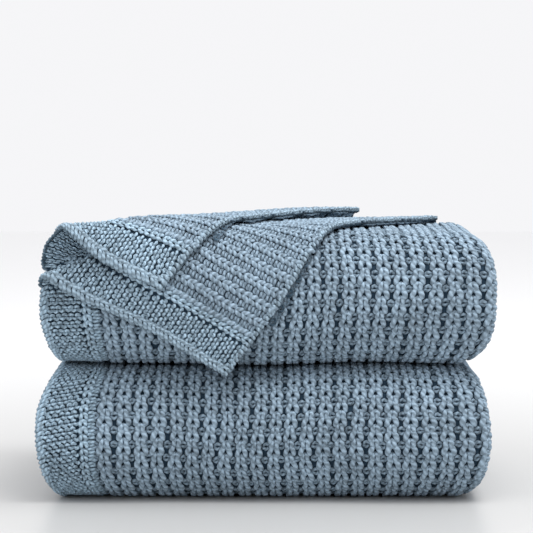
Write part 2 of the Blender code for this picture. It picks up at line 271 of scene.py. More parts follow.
class Corner:
    """A turned corner. Its flat points are (b, a, h): b from the hem inwards, a along the hem. Its
    crease starts at the side edge, start_drop past the front fold's middle, and ends at the free
    end, end_reach from the side. Its tip lies at tip_reach and tip_drop, and its hem leaves the
    crease a length of lean from the start."""

    def __init__(
        self, start_drop, end_reach, tip_reach, tip_drop, own_layer, turned_layer, gape, lean
    ):
        self.start = np.array([LEFT, APEX + start_drop])
        self.tip = np.array([LEFT + tip_reach, APEX + tip_drop])
        self.end = np.array([LEFT + end_reach, 0.0])
        self.crease_length = float(np.linalg.norm(self.end - self.start))
        self.crease = (self.end - self.start) / self.crease_length
        self.forward = np.array([-self.crease[1], self.crease[0]])
        hem = self.tip - (self.start + lean * self.crease)
        self.hem_length = float(np.linalg.norm(hem))
        self.hem = hem / self.hem_length
        self.inward = np.array([self.hem[1], -self.hem[0]])
        self.inner = layer_depth(own_layer)
        self.radius = (self.inner - layer_depth(turned_layer)) / 2
        self.gape, self.lean = gape, lean
        edge = self.end - self.tip
        self.edge_slope = float((edge @ self.hem) / (edge @ self.inward))
        upright = (self.hem @ self.crease) / (self.hem @ self.forward)
        self.hem_slant = upright - lean / (np.pi * (self.radius + gape))

    def from_crease(self, b, a):
        """How far forward of the crease a flat point lies, and how far along the crease."""
        ahead = a * (self.hem @ self.forward) + b * (self.inward @ self.forward)
        along = self.lean + a * (self.hem @ self.crease) + b * (self.inward @ self.crease)
        return ahead, along

    def flat_at(self, along, ahead=0.0):
        """The flat point (b, a) this far along the crease and ahead of it."""
        past_lean = along - self.lean
        b = past_lean * (self.inward @ self.crease) + ahead * (self.inward @ self.forward)
        a = past_lean * (self.hem @ self.crease) + ahead * (self.hem @ self.forward)
        return b, a

    def to_end(self, b):
        """The length along the hem direction at which the free end lies, b in from the hem."""
        return self.hem_length + b * self.edge_slope

    def roll_radius(self, along):
        """The fold gapes where it meets the side edge and closes further in."""
        return self.radius + self.gape * np.exp(-((np.clip(along, 0, None) / GAPE_LENGTH) ** 2))

    def rolled(self, b, a):
        """How far forward, how far along once rolled, and the roll's radius there. In the roll the
        hem turns square to the crease, and so meets the layer's own side edge."""
        ahead, along = self.from_crease(b, a)
        slant = self.hem_slant * (1 - np.clip(along / self.crease_length, 0, 1))
        rolled_along = along + np.maximum(-ahead, 0) * slant
        return ahead, rolled_along, self.roll_radius(rolled_along)

    def holds(self, b, a, before_end=0.0, past_roll=0.0):
        """Which flat places belong to the corner: its turned part and the roll at its crease."""
        ahead, along, radius = self.rolled(b, a)
        in_roll = (ahead < 0) & (along > self.crease_length - before_end)
        return (ahead > -np.pi * radius - past_roll) & (a < self.to_end(b) - before_end) & ~in_roll

    def fold(self, flat):
        b, a, h = flat.T
        ahead, along, radius = self.rolled(b, a)
        turn = np.clip(-ahead / radius, 0, np.pi)
        reach = radius + h
        past_roll = np.maximum(-ahead - np.pi * radius, 0)
        forward = np.where(ahead < 0, past_roll - reach * np.sin(turn), ahead)
        settling = np.exp(-((np.clip(ahead, 0, None) / SETTLING_LENGTH) ** 2))
        flat_radius = self.radius + (radius - self.radius) * settling
        n = np.where(
            ahead < 0,
            self.inner - radius - reach * np.cos(turn),
            self.inner - 2 * flat_radius - h,
        )
        on_cloth = self.start + along[:, None] * self.crease + forward[:, None] * self.forward
        return settled(place_hanging(on_cloth[:, 0], on_cloth[:, 1], n))


def place_hanging(x, distance, n):
    """A point of a turned corner, which hangs straight down past the middle of the front fold."""
    u = SURFACE_ROUTE.u_at(np.minimum(distance, APEX))
    points = place(x, u, n)
    points[:, 2] -= np.maximum(distance - APEX, 0)
    return points


UNDER = Corner(
    start_drop=-9 * MM,
    end_reach=280 * MM,
    tip_reach=123 * MM,
    tip_drop=52 * MM,
    own_layer=1,
    turned_layer=0,
    gape=3 * MM,
    lean=7 * MM,
)
OVER = Corner(
    start_drop=-25 * MM,
    end_reach=220 * MM,
    tip_reach=77 * MM,
    tip_drop=-7 * MM,
    own_layer=2,
    turned_layer=-1,
    gape=8.5 * MM,
    lean=14 * MM,
)


# Yarn: each stitch is a short closed tube, given by its middle line in millimetres.

SIDES = 6
END_TAPER, FLATTENED = 0.55, 0.92  # a stitch is thinner at its ends, and a little flat
JITTER = 0.18  # how far each stitch strays, in mm
CAP_FACES = ((0, 1, 2, 3), (0, 3, 4, 5))  # the end of a six-sided tube as two quads


class Stitch:
    """One bent length of yarn round a line of (p, q, h) points in millimetres."""

    def __init__(self, line, radius):
        line = np.array(line, float)
        tangent = np.gradient(line, axis=0)
        tangent /= np.linalg.norm(tangent, axis=1)[:, None]
        side = np.cross(tangent, [0.0, 0.0, 1.0])
        side /= np.maximum(np.linalg.norm(side, axis=1), 1e-6)[:, None]
        upward = np.cross(side, tangent)
        size = np.full(len(line), radius)
        size[[0, -1]] *= END_TAPER
        angle = 2 * np.pi * np.arange(SIDES) / SIDES
        ring = np.cos(angle)[:, None] * side[:, None]
        ring += FLATTENED * np.sin(angle)[:, None] * upward[:, None]
        self.points = (line[:, None] + ring * size[:, None, None]).reshape(-1, 3) * MM
        lengths = np.linalg.norm(np.diff(line, axis=0), axis=1)
        travelled = np.concatenate([[0], np.cumsum(lengths)])
        quads, uvs = [], []
        for i in range(len(line) - 1):
            for j in range(SIDES):
                k = (j + 1) % SIDES
                quads.append((i * SIDES + j, i * SIDES + k, (i + 1) * SIDES + k, (i + 1) * SIDES + j))
                here, there = travelled[i], travelled[i + 1]
                first, second = j / SIDES, (j + 1) / SIDES
                uvs += [(here, first), (here, second), (there, second), (there, first)]
        last = (len(line) - 1) * SIDES
        quads += [cap[::-1] for cap in CAP_FACES]
        quads += [tuple(last + corner for corner in cap) for cap in CAP_FACES]
        uvs += [(travelled[0], 0.0)] * 8 + [(travelled[-1], 0.0)] * 8
        self.quads, self.uvs = np.array(quads), np.array(uvs)


def arch(half):
    """A line that is symmetric about p = 0, given from its middle to one end."""
    return [(-p, q, h) for p, q, h in reversed(half[1:])] + half


# The ends of every stitch go down towards the ground cloth.
WIDE_LEGS = [(0, -3.8, -1.4), (1.0, -2.9, -0.3), (1.55, -1.4, 0.45), (2.5, 0.2, 1.0)]
WIDE_STITCH = Stitch(arch(WIDE_LEGS + [(3.05, 2.0, 1.1), (3.05, 3.8, 0.5), (2.4, 5.2, -0.9)]), 1.88)
NARROW_LEGS = [(0, 3.6, -0.7), (1.0, 4.2, 0.5), (1.75, 5.5, 1.2)]
NARROW_STITCH = Stitch(arch(NARROW_LEGS + [(1.8, 7.1, 1.3), (1.5, 8.6, 0.7), (1.1, 9.9, -0.7)]), 1.6)
PEARL_TOP = Stitch(arch([(0, 5.4, -0.15), (1.6, 6.1, -0.45), (2.9, 7.8, -1.3)]), 1.3)
PEARL_LOW = Stitch(arch([(0, 9.1, -0.35), (1.6, 8.4, -0.6), (2.9, 6.8, -1.3)]), 1.3)
GARTER_TOP = Stitch(arch([(0, -0.1, 1.2), (0.75, 0.3, 0.75), (1.3, 1.5, -1.0)]), 1.15)
GARTER_LOW = Stitch(arch([(0, 2.7, 1.1), (0.75, 2.3, 0.65), (1.3, 1.1, -1.0)]), 1.15)
GARTER_UNDER = Stitch([(-1.9, -0.2, -1.2), (-0.6, 0.3, -0.5), (0.6, -0.3, -0.5), (1.9, 0.2, -1.2)], 1.2)
CHAIN_STITCH = Stitch(arch([(0, 0.2, 0.3), (1.1, 1.1, 1.0), (1.8, 2.9, 1.1), (1.4, 5.4, -0.3)]), 1.4)
RUNG = Stitch([(-2.9, 0.9, -1.0), (-1.2, 0.0, 0.3), (1.2, 0.0, 0.3), (2.9, 0.9, -1.0)], 1.25)
CORD = Stitch(
    [(-1.2, -1.2, -0.8), (-0.6, 0.2, 0.9), (0.3, 2.0, 1.3), (1.0, 3.9, 0.9), (1.3, 5.2, -0.7)], 1.6
)
# A rope-like edge: slanting strands that wind from one side of the cloth over its edge to the other
OVER_EDGE = [(3.4, -2.0, 0.9), (1.9, -0.8, 1.6), (0.2, 0.6, 1.2)]
EDGE_STRAND = Stitch(OVER_EDGE + [(-0.5, 1.9, 0.0), (0.1, 3.1, -1.1), (1.8, 4.3, -1.4)], 1.3)
EDGE_INNER = Stitch(
    [(5.4, -1.6, -0.6), (4.6, -0.2, 0.7), (3.9, 1.8, 1.2), (3.8, 3.6, 0.9), (4.3, 5.2, -0.4)],
    1.2,
)
# Round the free ends: small close loops
LOOP_TOP = [(1.0, 3.9, 0.3), (0.6, 1.6, 1.3), (0.2, 0.1, 0.7)]
END_LOOP = Stitch(LOOP_TOP + [(-0.2, -0.1, -0.5), (-0.6, 1.4, -1.3), (-1.0, 3.6, -1.2)], 1.45)


def laid(stitch, p, q, mirrored=False, reversed_q=False):
    """Copies of a stitch at flat places (p, q), as (points, quads, uvs, tones)."""
    p, q = np.broadcast_arrays(np.asarray(p, float), np.asarray(q, float))
    p, q = p.ravel(), q.ravel()
    shape = stitch.points * (-1 if mirrored else 1, -1 if reversed_q else 1, 1)
    count = len(p)
    shift = random.normal(0, JITTER * MM, (count, 3))
    scale = 1 + random.normal(0, 0.03, count)
    points = shape[None] * scale[:, None, None]
    points[:, :, 0] += (p + shift[:, 0])[:, None]
    points[:, :, 1] += (q + shift[:, 1])[:, None]
    points[:, :, 2] += shift[:, 2][:, None] * 0.5
    quads = stitch.quads[None] + (np.arange(count) * len(shape))[:, None, None]
    if mirrored != reversed_q:
        quads = quads[:, :, ::-1]
    uvs = np.tile(stitch.uvs.reshape(-1, 4, 2), (count, 1, 1)).reshape(count, -1, 4, 2)
    uvs = uvs + random.uniform(0, 40, count)[:, None, None, None] * np.array([1, 0])
    if mirrored != reversed_q:
        uvs = uvs[:, :, ::-1]
    tones = np.repeat(random.uniform(0, 1, count), len(shape))
    return points.reshape(-1, 3), quads.reshape(-1, 4), uvs.reshape(-1, 2), tones


def joined(parts):
    """Several groups of stitches as one."""
    parts = [part for part in parts if len(part[0])]
    starts = np.cumsum([0] + [len(points) for points, _, _, _ in parts[:-1]])
    shifted = [part[1] + start for part, start in zip(parts, starts)]
    points, _, uvs, tones = (np.concatenate(group) for group in zip(*parts))
    return points, np.concatenate(shifted), uvs, tones


def added(name, data):
    """A new object, in the scene."""
    obj = bpy.data.objects.new(name, data)
    bpy.context.scene.collection.objects.link(obj)
    return obj


def yarn_piece(name, parts, fold, slot, inside_out=False):
    """A mesh of stitches, folded into place; inside_out where the fold mirrors them."""
    flat, quads, uvs, tones = joined(parts)
    if inside_out:
        quads, uvs = quads[:, ::-1], uvs.reshape(-1, 4, 2)[:, ::-1].reshape(-1, 2)
    points = fold(flat)
    mesh = bpy.data.meshes.new(name)
    mesh.vertices.add(len(points))
    mesh.vertices.foreach_set("co", points.astype(np.float32).ravel())
    mesh.loops.add(quads.size)
    mesh.loops.foreach_set("vertex_index", quads.astype(np.int32).ravel())
    mesh.polygons.add(len(quads))
    mesh.polygons.foreach_set("loop_start", np.arange(0, quads.size, 4, dtype=np.int32))
    mesh.update(calc_edges=True)
    mesh.polygons.foreach_set("use_smooth", np.ones(len(quads), bool))
    mesh.uv_layers.new(name="yarn").data.foreach_set("uv", uvs.astype(np.float32).ravel())
    tone = mesh.attributes.new("tone", "FLOAT", "POINT")
    tone.data.foreach_set("value", tones.astype(np.float32))
    # The height over the cloth, which the yarn material turns into painted shade, darker where the
    # stitch goes down
    height = mesh.attributes.new("height", "FLOAT", "POINT")
    height.data.foreach_set("value", np.clip(flat[:, 2] / (2.6 * MM), -1, 1).astype(np.float32))
    mesh.validate()
    mesh.materials.append(YARNS[slot])
    obj = added(name, mesh)
    return obj


# Materials


def colour(code):
    """An sRGB hex value as linear RGBA."""
    parts = [int(code[i : i + 2], 16) / 255 for i in (1, 3, 5)]
    return tuple(c / 12.92 if c <= 0.04045 else ((c + 0.055) / 1.055) ** 2.4 for c in parts) + (1.0,)


def node(tree, kind, links=(), values=(), **settings):
    """Adds a node, sets its properties and inputs, and links the (input, socket) pairs given. An
    input whose name isn't its own is set by its number, in values."""
    made = tree.nodes.new(kind)
    for name, value in settings.items():
        if hasattr(made, name):
            setattr(made, name, value)
        else:
            made.inputs[name.replace("_", " ")].default_value = value
    for number, value in values:
        made.inputs[number].default_value = value
    for target, socket in links:
        tree.links.new(made.inputs[target], socket)
    return made


def mixed_colour(tree, share, low, high):
    ends = [(6, colour(low)), (7, colour(high))]
    return node(tree, "ShaderNodeMix", [(0, share)], ends, data_type="RGBA").outputs[2]


def new_material(name, **settings):
    """A material with its node tree and shader, and these inputs of the shader set."""
    material = bpy.data.materials.new(name)
    material.use_nodes = True
    shader = material.node_tree.nodes["Principled BSDF"]
    for key, value in settings.items():
        shader.inputs[key.replace("_", " ")].default_value = value
    return material, material.node_tree, shader


# The yarn is three plies, drawn as bands on the stitch's own map: u in mm, v one turn round it. The
# bands darken the colour between the plies as painted shade, and also bump the surface.
PLIES, PLY_SLANT, PLY_BANDS = 3.0, 0.55, 0.32
FUZZ_SCALE = 900.0  # loose fibre in tufts of about 1.1 mm, coarser than real so that it shows
PATCH_SCALE = 28.0  # the dye takes a little unevenly over about 36 mm


def yarn(name, light, deep_shade):
    """Plied cotton and acrylic yarn, soft spun and matt: fine slanting plies with painted shade between
    them, a dusty bloom of loose fibre at its edges, and painted shade, darker blue, where the yarn goes
    down into the cloth."""
    material, tree, shader = new_material(name, Roughness=0.88, Specular_IOR_Level=0.25)
    shader.inputs["Sheen Weight"].default_value = 0.25
    shader.inputs["Sheen Roughness"].default_value = 0.45
    shader.inputs["Sheen Tint"].default_value = colour("#C8D8E8")
    uv = node(tree, "ShaderNodeUVMap", uv_map="yarn").outputs["UV"]
    where = node(tree, "ShaderNodeTexCoord").outputs["Object"]
    slant = node(tree, "ShaderNodeMapping", [("Vector", uv)], Scale=(PLY_SLANT, PLIES, 1.0))
    plies = node(
        tree,
        "ShaderNodeTexWave",
        [("Vector", slant.outputs["Vector"])],
        wave_type="BANDS",
        bands_direction="DIAGONAL",
        Scale=PLY_BANDS,
        Distortion=1.2,
        Detail=1.0,
    ).outputs["Fac"]
    fuzz = node(tree, "ShaderNodeTexNoise", [("Vector", where)], Scale=FUZZ_SCALE, Detail=3.0)
    patches = node(tree, "ShaderNodeTexNoise", [("Vector", where)], Scale=PATCH_SCALE, Detail=2.0)
    tone = node(tree, "ShaderNodeAttribute", attribute_name="tone").outputs["Fac"]
    height = node(tree, "ShaderNodeAttribute", attribute_name="height").outputs["Fac"]
    # Painted shade: the colour goes from the light colour on top of a stitch to its deep shade where the
    # yarn goes down into the cloth
    raised = node(tree, "ShaderNodeMapRange", [("Value", height)], From_Min=-0.7, From_Max=0.7)
    base = mixed_colour(tree, raised.outputs["Result"], deep_shade, light)
    own = node(tree, "ShaderNodeMath", [(0, tone)], [(1, 0.45)], operation="MULTIPLY")
    # The colour's value: painted shade between the plies, with each stitch's own random tone, the dye's
    # patches and the loose fibre
    amount = plies
    for part in (own.outputs[0], patches.outputs["Fac"], fuzz.outputs["Fac"]):
        amount = node(tree, "ShaderNodeMath", [(0, amount), (1, part)], operation="ADD").outputs[0]
    value = node(
        tree,
        "ShaderNodeMapRange",
        [("Value", amount)],
        From_Min=0.75,
        From_Max=2.7,
        To_Min=0.38,
        To_Max=1.55,
    )
    shade = [("Color", base), ("Value", value.outputs["Result"])]
    tinted = node(tree, "ShaderNodeHueSaturation", shade)
    tree.links.new(shader.inputs["Base Color"], tinted.outputs["Color"])
    relief = node(
        tree, "ShaderNodeMath", [(0, plies), (1, fuzz.outputs["Fac"])], operation="ADD"
    ).outputs[0]
    bump = node(tree, "ShaderNodeBump", [("Height", relief)], Strength=0.8, Distance=0.5 * MM)
    tree.links.new(shader.inputs["Normal"], bump.outputs["Normal"])
    return material


LOOP_SCALE = 420.0  # the inner loops of yarn, about 2.4 mm apart


def ground(name, deep_shade, light):
    """The inside of the knitting, in the same yarn but coloured far darker as painted shade: it is seen
    only as the shadow between stitches.
    """
    material, tree, shader = new_material(name, Roughness=0.95, Specular_IOR_Level=0.15)
    where = node(tree, "ShaderNodeTexCoord").outputs["Object"]
    loops = node(
        tree, "ShaderNodeTexNoise", [("Vector", where)], Scale=LOOP_SCALE, Detail=2.0
    ).outputs["Fac"]
    tree.links.new(shader.inputs["Base Color"], mixed_colour(tree, loops, deep_shade, light))
    bump = node(tree, "ShaderNodeBump", [("Height", loops)], Strength=0.8, Distance=0.8 * MM)
    tree.links.new(shader.inputs["Normal"], bump.outputs["Normal"])
    return material


# Each yarn's own colour, and the darker blue of its painted shade where the stitches go down into the
# cloth
YARNS = {
    "knit_rib": yarn("plied_yarn_ribs", "#8CA0B0", "#263D4D"),
    "knit_garter": yarn("plied_yarn_garter", "#9BB3C4", "#2C4352"),
    "knit_edge": yarn("plied_yarn_edges", "#90A5B4", "#2E4351"),
}
# The ground cloth's dark colour is painted shade between the stitches
PAINTED_SHADE_GROUND = ground("knitted_ground_painted_shade", "#16242F", "#33485A")


# Ground cloth

EDGE_INSET = 3.2 * MM  # the stitches of each edge reach this far past the ground cloth
HINGE_GAP = 1.5 * MM


def flat_grid(p_values, q_values):
    """A flat bmesh grid over these values of p and q."""
    bm = bmesh.new()
    rows = [[bm.verts.new((p, q, 0)) for p in p_values] for q in q_values]
    for row, following in zip(rows, rows[1:]):
        for i in range(len(row) - 1):
            bm.faces.new((row[i], row[i + 1], following[i + 1], following[i]))
    return bm


def cut_away(bm, keep_face, point, towards):
    """Cuts the faces that keep_face picks along a line and drops what lies behind it."""
    faces = [face for face in bm.faces if keep_face(face.calc_center_median())]
    geom = list({v for f in faces for v in f.verts}) + list({e for f in faces for e in f.edges}) + faces
    bmesh.ops.bisect_plane(
        bm, geom=geom, plane_co=(*point, 0), plane_no=(*towards, 0), clear_inner=False, clear_outer=False
    )
    gone = []
    for face in bm.faces:
        centre = face.calc_center_median()
        ahead = (centre.x - point[0]) * towards[0] + (centre.y - point[1]) * towards[1]
        if keep_face(centre) and ahead < 0:
            gone.append(face)
    bmesh.ops.delete(bm, geom=gone, context="FACES")


def cloth_piece(name, bm, fold, base=GROUND_HEIGHT):
    flat_area = sum(face.calc_area() for face in bm.faces)
    raised = bmesh.ops.extrude_face_region(bm, geom=bm.faces[:], use_keep_orig=True)["geom"]
    for vertex in bm.verts:
        vertex.co.z = base
    for item in raised:
        if isinstance(item, bmesh.types.BMVert):
            item.co.z = base + GROUND_THICKNESS
    flat = np.array([vertex.co for vertex in bm.verts])
    for vertex, point in zip(bm.verts, fold(flat)):
        vertex.co = point
    bmesh.ops.recalc_face_normals(bm, faces=bm.faces[:])
    if bm.calc_volume(signed=True) < 0:
        bmesh.ops.reverse_faces(bm, faces=bm.faces[:])
    mesh = bpy.data.meshes.new(name)
    bm.to_mesh(mesh)
    bm.free()
    mesh.shade_smooth()
    mesh.materials.append(PAINTED_SHADE_GROUND)
    obj = added(name, mesh)
    return obj


def steps(first, last, size):
    return list(np.linspace(first, last, max(2, int(round((last - first) / size)) + 1)))


def across_values():
    """Cuts across the whole width, close together in the side folds."""
    values = [EDGE_INSET]
    for number, end in enumerate(SECTION):
        fine = 2 * MM if number in (1, 3, 5) else 14 * MM
        values += steps(values[-1], min(float(end), WIDTH - EDGE_INSET), fine)[1:]
    return values


def along_values(first, last):
    """Cuts along the cloth between two values of u, close together in the folds. A run stops a
    little before the hinge, so that it clears the other bundle when the throw opens."""
    is_run = last > first + 1
    values = [max(STRIP_ROUTE.q_at(first) + HINGE_GAP * (is_run and first > 0), EDGE_INSET)]
    for u in range(first, last):
        fine = 3 * MM if u % 2 else 14 * MM
        short = HINGE_GAP if is_run and u + 1 in (UPPER_BACK, REAR_AGAIN) else 0.0
        end = min(STRIP_ROUTE.q_at(u + 1) - short, STRIP_ROUTE.q_at(U_END) - EDGE_INSET)
        values += steps(values[-1], end, fine)[1:]
    return values


# Knitting patterns, as groups of stitches over a part of the flat cloth

EDGE_PITCH, LOOP_PITCH, ROLL_LOOP_PITCH = 3.3 * MM, 3.15 * MM, 2.4 * MM


def rib_columns(first, last):
    lowest = math.ceil((first - FIRST_RIB) / RIB_PITCH)
    highest = math.floor((last - FIRST_RIB) / RIB_PITCH)
    return FIRST_RIB + np.arange(lowest, highest + 1) * RIB_PITCH


def rows(first, last, pitch):
    return np.arange(math.ceil(first / pitch), math.ceil(last / pitch)) * pitch


def kept_places(p, q, keep):
    """The places (p, q) that keep holds, or all of them without it."""
    if keep is None:
        return p, q
    sites = keep(p, q)
    return p[sites], q[sites]


def ribs(p_span, q_span, keep=None):
    """Tuck rib: wide and narrow stitches stacked in columns, with recessed pearls between them."""
    p, q = np.meshgrid(rib_columns(*p_span), rows(*q_span, COURSE))
    p, q = kept_places(p.ravel(), q.ravel(), keep)
    p = p + 0.5 * MM * np.sin(q * 70 + p * 900)  # no column is quite straight
    between_p, between_q = p - RIB_PITCH / 2, q + COURSE * 0.02
    return [
        laid(WIDE_STITCH, p, q),
        laid(NARROW_STITCH, p, q),
        laid(PEARL_TOP, between_p, between_q),
        laid(PEARL_LOW, between_p, between_q),
    ]


def garter(p_span, q_span, tilt=0.0, keep=None):
    """Garter stitch: ridges of round bumps across the border, which tilt a little."""
    p, q = np.meshgrid(np.arange(*p_span, GARTER_BUMP), rows(*q_span, GARTER_ROW))
    p, q = p.ravel(), q.ravel()
    p, q = kept_places(p, q - tilt * (p - p_span[0]), keep)
    return [
        laid(GARTER_TOP, p, q),
        laid(GARTER_LOW, p + GARTER_BUMP / 2, q + 0.5 * MM),
        laid(GARTER_UNDER, p, q + GARTER_ROW / 2),
    ]


def chain(q_span, keep=None):
    """One column of plain stitches between border and ribs, with short rungs beside it."""
    q = rows(*q_span, COURSE / 2)
    p, q = kept_places(np.full(len(q), CHAIN_AT), q, keep)
    return [
        laid(CHAIN_STITCH, p, q),
        laid(RUNG, p + 4.6 * MM, q),
        laid(RUNG, p + 5 * MM, q + COURSE / 4),
    ]


def selvedge(q_span, edge, keep=None, mirrored=False, wide=False):
    """The cloth's side edge, like a thin rope: slanting strands round it, and a line beside them
    where it is wide."""
    q = rows(*q_span, EDGE_PITCH)
    p, q = kept_places(np.full(len(q), edge), q, keep)
    parts = [laid(EDGE_STRAND, p, q, mirrored=mirrored)]
    if wide:
        parts.append(laid(EDGE_INNER, p, q, mirrored=mirrored))
    return parts


def rim(q, reversed_q=False):
    """A free end's bound edge: loops round it, side by side, all across the cloth."""
    p = rows(0, WIDTH, LOOP_PITCH)
    return laid(END_LOOP, p, np.full(len(p), q), reversed_q=reversed_q)


# The pieces

BEFORE_REAR, AFTER_REAR = -10 * MM, 4 * MM
REAR_ROWS = {UPPER_BACK: BEFORE_REAR, REAR_END: AFTER_REAR}
REAR_ROWS |= {REAR_AGAIN: BEFORE_REAR, UPPER_AGAIN: AFTER_REAR}
ROW_REACH = 9.5 * MM  # how far past its place a row of ribs reaches
STEP_DEPTH = 34 * MM  # the inner layers show this far at the back, behind the top run's free end
SIDE_FOLD = (FLAT_1, RIGHT_FOLD_END + 4 * MM)
RIBBED = (BORDER_WIDTH + 2 * MM, SIDE_FOLD[1])
GARTER_FIELD = (4.6 * MM, CHAIN_AT - 3.0 * MM)
SELVEDGE_AT = 2 * MM


def q_range(first, last, route=FACE_ROUTE):
    """Where the rows of stitches between two values of u start and end. The rear folds have the
    rows that reach into them, so that no stitch of a run stands past the hinge."""
    return tuple(route.q_at(u) + REAR_ROWS.get(u, 0.0) for u in (first, last))


def rib_range(first, last):
    """As q_range on the strip's route, with the last row of ribs wholly inside the cloth's end."""
    start, end = q_range(first, last, STRIP_ROUTE)
    return start, min(end, STRIP_ROUTE.q_at(U_END) - ROW_REACH)


def step_range():
    """The rows of the inner layers that show behind the top run's free end."""
    return q_range(UPPER_AGAIN, U_END)[0], FACE_ROUTE.q_at(UPPER_AGAIN) + STEP_DEPTH


def ahead_of(corner, x, q):
    return (x - corner.start[0]) * corner.forward[0] + (q - corner.start[1]) * corner.forward[1]


def in_front_of(corner, layer, route=FACE_ROUTE, margin=-1.5 * MM):
    """Keeps the places of layer 1 or 2 that lie on the kept side of its corner's crease."""

    def keep(p, q):
        x, _ = across(p, np.zeros_like(p))
        on_layer = (p < FLAT_1) if layer == 1 else (p > LAYER_2_START)
        return ~on_layer | (ahead_of(corner, x, SURFACE_ROUTE.same_place(q, route)) > margin)

    return keep


def on_layer_1(centre):
    return centre.x < FLAT_1


def on_layer_2(centre):
    return centre.x > LAYER_2_START


def upper_cloth():
    """The ground cloth of the upper bundle without the two turned corners, and of its inner run."""
    bm = flat_grid(across_values(), along_values(0, UPPER_BACK))
    for corner, picks, selvedge_p, side in ((UNDER, on_layer_1, 0, 1), (OVER, on_layer_2, WIDTH, -1)):
        start_q = float(STRIP_ROUTE.same_place(corner.start[1], SURFACE_ROUTE))
        forward = np.array([start_q, corner.end[0] - corner.start[0]])
        forward /= np.linalg.norm(forward)
        cut_away(bm, picks, (selvedge_p, start_q), forward * (side, 1))
    outer = cloth_piece("upper_cloth", bm, folded(STRIP_ROUTE))
    bm = flat_grid(across_values(), along_values(UPPER_AGAIN, U_END))
    return outer, cloth_piece("upper_inner_cloth", bm, folded(STRIP_ROUTE))


def face_ribs():
    """The ribbed face wherever it shows, or would show with the throw opened."""
    face = folded(FACE_ROUTE)
    for name, body, first, last in (
        ("top_ribs", "upper_bundle", 0, 1),
        ("upper_front_ribs", "upper_bundle", 1, 2),
        ("upper_underside_ribs", "upper_bundle", 2, 3),
        ("lower_top_ribs", "lower_bundle", 4, 5),
        ("lower_front_ribs", "lower_bundle", 5, 6),
        ("lower_base_ribs", "lower_bundle", 6, 7),
        ("bottom_fold_ribs", "lower_bundle", 7, 8),
    ):
        keep = in_front_of(UNDER, 1) if first < 2 else None
        parts = ribs(RIBBED, q_range(first, last), keep)
        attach(yarn_piece(name, parts, face, "knit_rib"), body)
    parts = ribs(RIBBED, step_range())
    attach(yarn_piece("upper_step_ribs", parts, face, "knit_rib"), "upper_bundle")
    strip = folded(STRIP_ROUTE)
    for name, body, first, last in (
        ("lower_side_ribs", "lower_bundle", 8, 11),
        ("upper_side_ribs", "upper_bundle", 12, 15),
    ):
        parts = ribs(SIDE_FOLD, rib_range(first, last))
        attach(yarn_piece(name, parts, strip, "knit_rib"), body)


RIGHT_SPLIT = float(FLAT_1 + RIGHT_FOLD_END) / 2
LEFT_SPLIT = float(LAYER_4_END + LAYER_3_START) / 2
INNER_SPLIT = float(SECTION[4] + SECTION[5]) / 2


def left_ribs():
    """The rib on the left-hand folds."""
    strip = folded(STRIP_ROUTE)
    for name, body, spans in (
        ("upper_left_ribs", "upper_bundle", ((0, 3), (12, 15))),
        ("lower_left_ribs", "lower_bundle", ((4, 11),)),
    ):
        parts = []
        for first, last in spans:
            q = rows(*rib_range(first, last), COURSE)
            parts += [laid(WIDE_STITCH, LEFT_SPLIT, q), laid(NARROW_STITCH, LEFT_SPLIT, q)]
        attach(yarn_piece(name, parts, strip, "knit_rib"), body)


def borders():
    """The garter border of the face, with its chain, and the selvedges of both outer layers."""
    face = folded(FACE_ROUTE)
    for name, body, first, last, tilt in (
        ("upper_border", "upper_bundle", 0, 3, 0.06),
        ("lower_border", "lower_bundle", 4, 8, 0.22),
    ):
        keep = in_front_of(UNDER, 1) if body == "upper_bundle" else None
        span = q_range(first, last)
        parts = garter(GARTER_FIELD, span, tilt, keep) + chain(span, keep)
        parts += selvedge(span, SELVEDGE_AT, keep)
        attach(yarn_piece(name, parts, face, "knit_garter"), body)
    parts = garter(GARTER_FIELD, step_range()) + chain(step_range())
    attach(yarn_piece("upper_step_border", parts, face, "knit_garter"), "upper_bundle")
    strip = folded(STRIP_ROUTE)
    for name, body, spans in (
        ("upper_selvedges", "upper_bundle", ((0, 3), (12, 15))),
        ("lower_selvedges", "lower_bundle", ((4, 11),)),
    ):
        parts = []
        for first, last in spans:
            span = q_range(first, last, STRIP_ROUTE)
            keep = in_front_of(OVER, 2, STRIP_ROUTE) if first == 0 else None
            parts += selvedge(span, WIDTH - SELVEDGE_AT, keep, mirrored=True)
        first, last = spans[-1]
        inner_pass = q_range(max(SECOND_STRIP, first), last, STRIP_ROUTE)
        parts += selvedge(inner_pass, SELVEDGE_AT)
        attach(yarn_piece(name, parts, strip, "knit_edge"), body)


def reverse_side(flat):
    """Layer 2 with its reverse up, pressed flat under the corners, for patterns measured from its
    own selvedge."""
    b, a, h = flat.T
    pressed = -0.55 * (h - GROUND_HEIGHT) - 1.8 * MM
    return folded(STRIP_ROUTE)(np.stack([WIDTH - b, a, pressed], axis=1))


def bared_layers():
    """What the turned corners bare: layer 3's ribs at the back, and before them layer 2's reverse."""

    def behind_over(p, q):
        x, _ = across(p, np.zeros_like(p))
        return ahead_of(OVER, x, SURFACE_ROUTE.same_place(q, STRIP_ROUTE)) < 16 * MM

    def between_creases(b, a):
        x, q = LEFT + b, SURFACE_ROUTE.same_place(a, STRIP_ROUTE)
        return (ahead_of(OVER, x, q) > -1 * MM) & (ahead_of(UNDER, x, q) < 5 * MM)

    span = (2 * MM, APEX + 20 * MM)
    bared = ribs((LAYER_3_START + 2 * MM, SECTION[4]), span, behind_over)
    pieces = [yarn_piece("third_layer_ribs", bared, folded(STRIP_ROUTE), "knit_rib")]
    border = garter((6 * MM, CHAIN_AT - 3.5 * MM), span, 0.0, between_creases)
    border += chain(span, between_creases)
    pieces.append(yarn_piece("second_layer_border", border, reverse_side, "knit_garter"))
    inside = reverse_ribs((BORDER_WIDTH, 270 * MM), span, between_creases)
    pieces.append(yarn_piece("second_layer_reverse", inside, reverse_side, "knit_rib"))
    for piece in pieces:
        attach(piece, "upper_bundle")


